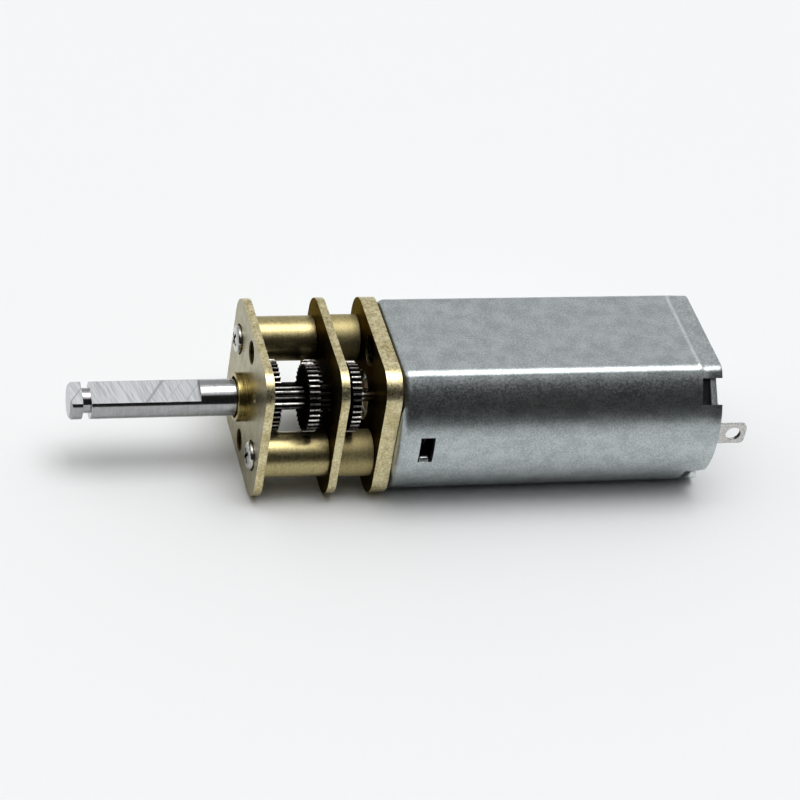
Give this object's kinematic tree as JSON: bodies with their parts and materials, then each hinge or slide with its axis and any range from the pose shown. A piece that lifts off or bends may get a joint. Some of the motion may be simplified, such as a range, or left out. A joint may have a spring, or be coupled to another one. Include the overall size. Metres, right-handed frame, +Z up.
{
  "type": "geared dc motor",
  "caption": "Open-frame spur gearmotor: brass plates and posts carry exposed steel gears and a grooved D-cut shaft, in front of a flat-sided steel motor can with rear solder terminals.",
  "frame": {"origin": "bottom centre of the part's box: on the surface that the plates' lower edges stand on, 0.15 mm below the can's lower flat, under the output axis, midway between the shaft tip and the terminal ends", "axes": "+X runs along the motor axis from the output shaft's tip to the rear terminals, +Y is across, +Z is up out of the can's upper flat"},
  "size_m": [0.0556, 0.0154, 0.0123],
  "materials": {
    "brass": "satin",
    "bright_steel": "polished",
    "gear_steel": "satin",
    "screw_nickel": "polished",
    "can_steel": "satin",
    "bronze": "matte",
    "ferrite": "matte",
    "core_steel": "satin",
    "copper": "satin",
    "carbon": "matte",
    "black_plastic": "satin",
    "tinned_metal": "satin"
  },
  "bodies": {
    "gearmotor_frame": {"front_plate": "brass", "middle_plate": "brass", "rear_plate": "brass", "output_bush": "brass", "front_spacer_upper": "brass", "front_spacer_lower": "brass", "rear_spacer_upper": "brass", "rear_spacer_lower": "brass", "lay_arbor": "bright_steel", "thrust_washer": "bright_steel", "gearbox_screw_upper": "screw_nickel", "gearbox_screw_lower": "screw_nickel", "motor_screw_upper": "screw_nickel", "motor_screw_lower": "screw_nickel", "motor_can": "can_steel", "front_bearing": "bronze", "rear_bearing": "bronze", "magnet_left": "ferrite", "magnet_right": "ferrite", "brush_arm_left": "copper", "brush_arm_right": "copper", "brush_left": "carbon", "brush_right": "carbon", "end_cap": "black_plastic", "terminal_left": "tinned_metal", "terminal_right": "tinned_metal"},
    "rotor": {"motor_pinion": "brass", "motor_shaft": "bright_steel", "armature_core": "core_steel", "commutator_holder": "black_plastic", "shaft_collar": "black_plastic", "winding_1": "copper", "winding_2": "copper", "winding_3": "copper", "commutator_bar_1": "copper", "commutator_bar_2": "copper", "commutator_bar_3": "copper"},
    "first_stage": {"first_wheel": "gear_steel", "first_pinion": "gear_steel"},
    "second_stage": {"second_wheel": "gear_steel", "second_pinion": "gear_steel"},
    "third_stage": {"third_wheel": "gear_steel", "third_pinion": "gear_steel"},
    "output": {"output_shaft": "bright_steel", "output_gear": "gear_steel"}
  },
  "joints": [
    {"name": "rotor_spin", "type": "hinge", "parent": "gearmotor_frame", "child": "rotor", "pos_m": [0, 0, 0.00615], "axis": [1, 0, 0], "continuous": true},
    {"name": "first_stage_spin", "type": "hinge", "parent": "gearmotor_frame", "child": "first_stage", "pos_m": [0, -0.0029, 0.00827], "axis": [1, 0, 0], "continuous": true},
    {"name": "second_stage_spin", "type": "hinge", "parent": "gearmotor_frame", "child": "second_stage", "pos_m": [0, 0, 0.00615], "axis": [1, 0, 0], "continuous": true},
    {"name": "third_stage_spin", "type": "hinge", "parent": "gearmotor_frame", "child": "third_stage", "pos_m": [0, -0.0029, 0.00827], "axis": [1, 0, 0], "continuous": true},
    {"name": "output_spin", "type": "hinge", "parent": "gearmotor_frame", "child": "output", "pos_m": [0, 0, 0.00615], "axis": [1, 0, 0], "continuous": true}
  ],
  "couplings": [
    {"joint": "first_stage_spin", "follows": "rotor_spin", "ratio": -0.33333},
    {"joint": "second_stage_spin", "follows": "rotor_spin", "ratio": 0.099099},
    {"joint": "third_stage_spin", "follows": "rotor_spin", "ratio": -0.036808},
    {"joint": "output_spin", "follows": "rotor_spin", "ratio": 0.0096864}
  ]
}
